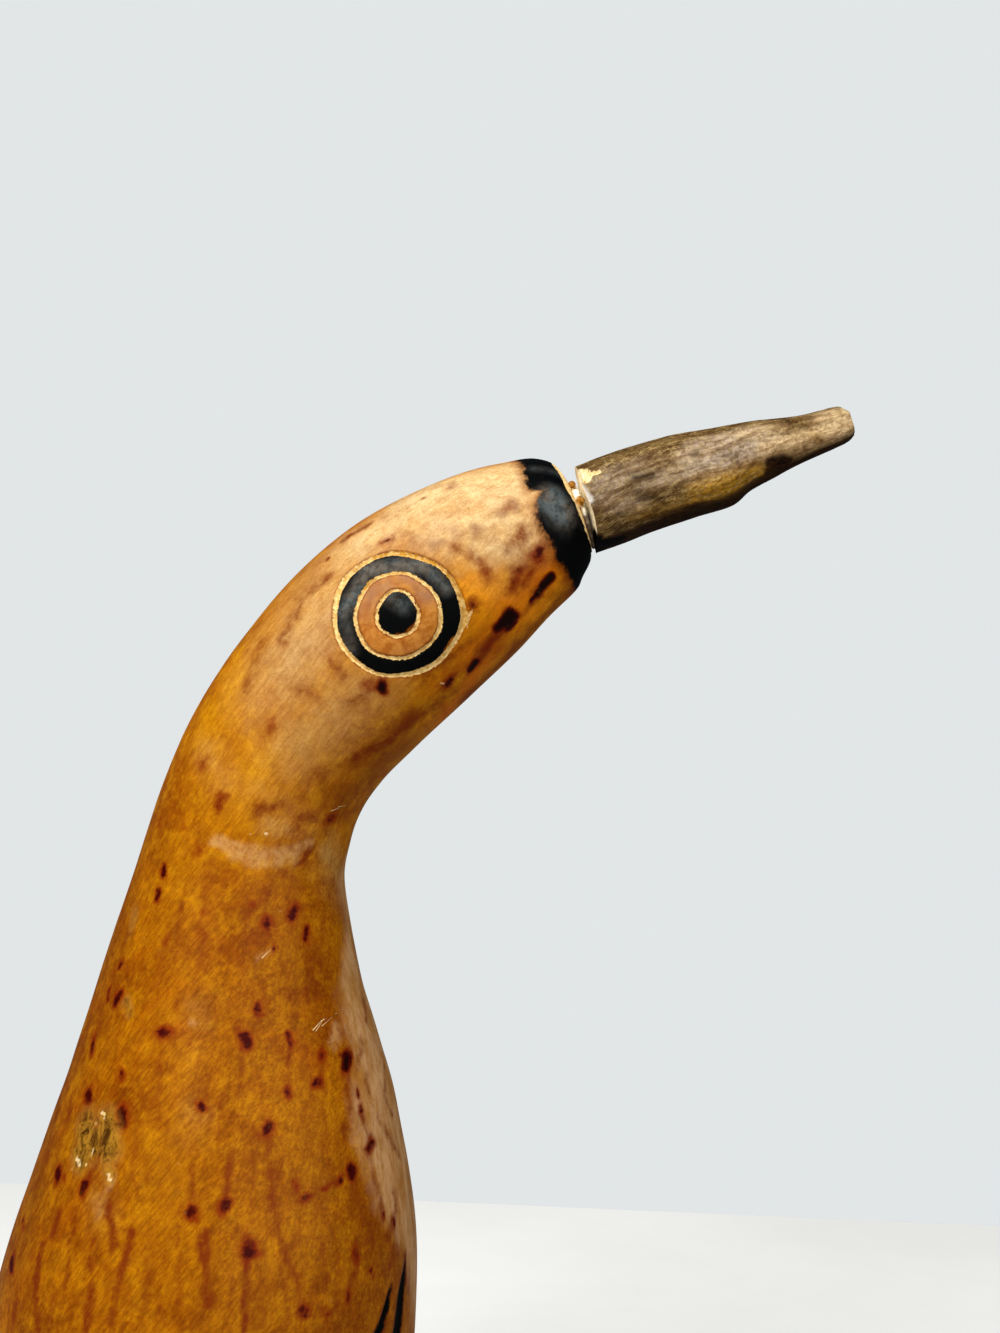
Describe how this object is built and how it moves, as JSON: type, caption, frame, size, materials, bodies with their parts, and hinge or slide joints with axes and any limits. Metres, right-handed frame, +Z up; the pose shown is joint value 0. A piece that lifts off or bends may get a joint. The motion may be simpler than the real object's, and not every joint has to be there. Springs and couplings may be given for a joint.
{
  "type": "penguin gourd carving",
  "caption": "Penguin made from a dried bottle gourd: bulb body, bent neck, carved round eyes and flippers, and a glued-on stem as its beak.",
  "frame": {"origin": "centre of the flat sanded underside", "axes": "+Z up along the standing bird, +X towards the beak, +Y towards the bird's left side"},
  "size_m": [0.1486, 0.073, 0.2123],
  "materials": {
    "gourd_skin": "lacquered dried gourd skin, honey orange with brown spots and streaks, cream in the cuts and burnt black on the eye's ring",
    "stem_wood": "dull grey-brown dried stem with lengthwise fibres, a tan tip and burnt patches",
    "glue": "dried yellowish glue with amber beads"
  },
  "bodies": {
    "root": {"gourd": "gourd_skin", "beak": "stem_wood", "glue_seam": "glue"}
  },
  "joints": []
}
